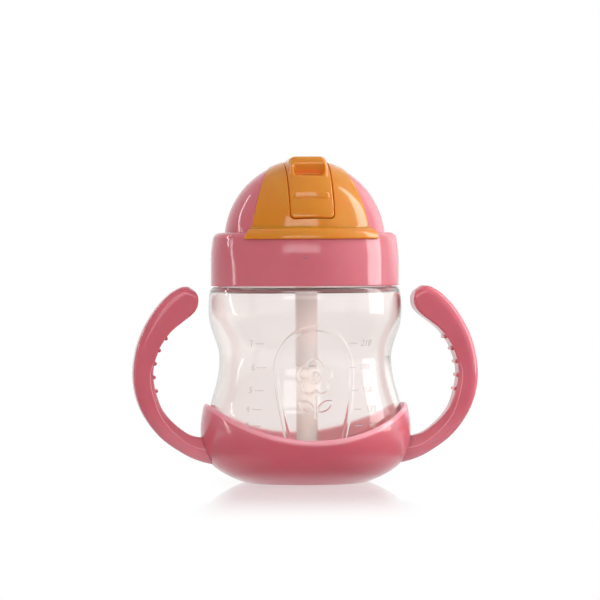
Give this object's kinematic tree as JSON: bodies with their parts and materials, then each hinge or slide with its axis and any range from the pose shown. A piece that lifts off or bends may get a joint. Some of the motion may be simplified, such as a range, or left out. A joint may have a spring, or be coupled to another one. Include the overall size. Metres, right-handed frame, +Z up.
{
  "type": "sippy cup",
  "caption": "Two-handled toddler straw cup: clear hourglass bottle in a saddle-rimmed boot, screw collar and domed lid whose shutter slides back to raise a soft straw.",
  "frame": {"origin": "centre of the boot's flat underside, on the surface it stands on", "axes": "+X across the two handles, -Y the front with the shutter and brim, +Z up along the cup's axis"},
  "size_m": [0.1398, 0.0846, 0.1312],
  "materials": {
    "boot_pink": "glossy pink polypropylene",
    "handle_pink": "satin pink polypropylene",
    "bottle_clear": "clear polypropylene",
    "collar_pink": "glossy pink polypropylene",
    "dome_pink": "glossy pink polypropylene",
    "hood_orange": "glossy orange polypropylene",
    "shutter_orange": "glossy orange polypropylene",
    "deck_natural": "natural polypropylene",
    "silicone": "pale translucent silicone",
    "straw_natural": "natural polypropylene"
  },
  "bodies": {
    "base": {"base_cup": "boot_pink", "handle_left": "handle_pink", "handle_right": "handle_pink"},
    "bottle": {"bottle": "bottle_clear"},
    "lid": {"dome_cap": "dome_pink", "slider_hood": "hood_orange", "lid_deck": "deck_natural", "neck_gasket": "silicone", "vent_valve": "silicone", "straw_stem": "silicone", "straw_tube": "straw_natural"},
    "collar": {"screw_collar": "collar_pink"},
    "shutter": {"slider": "shutter_orange"},
    "spout": {"straw_spout": "silicone"}
  },
  "joints": [
    {"name": "bottle_lift", "type": "slide", "parent": "base", "child": "bottle", "axis": [0, 0, 1], "range_m": [0, 0.045]},
    {"name": "lid_lift", "type": "slide", "parent": "bottle", "child": "lid", "axis": [0, 0, 1], "range_m": [0, 0.0091]},
    {"name": "collar_turn", "type": "hinge", "parent": "lid", "child": "collar", "pos_m": [0, 0, 0.09], "axis": [0, 0, 1], "range_deg": [0, 540]},
    {"name": "shutter_slide", "type": "hinge", "parent": "lid", "child": "shutter", "pos_m": [0, 0, 0.0974], "axis": [-1, 0, 0], "range_deg": [0, 70]},
    {"name": "spout_rise", "type": "hinge", "parent": "lid", "child": "spout", "pos_m": [0, -0.00597, 0.11493], "axis": [-1, 0, 0], "range_deg": [0, 94], "deforming": ["straw_spout"]}
  ],
  "couplings": [
    {"joint": "lid_lift", "follows": "collar_turn", "m_per_rad": 0.00095493},
    {"joint": "spout_rise", "follows": "shutter_slide", "ratio": 1.2857}
  ]
}
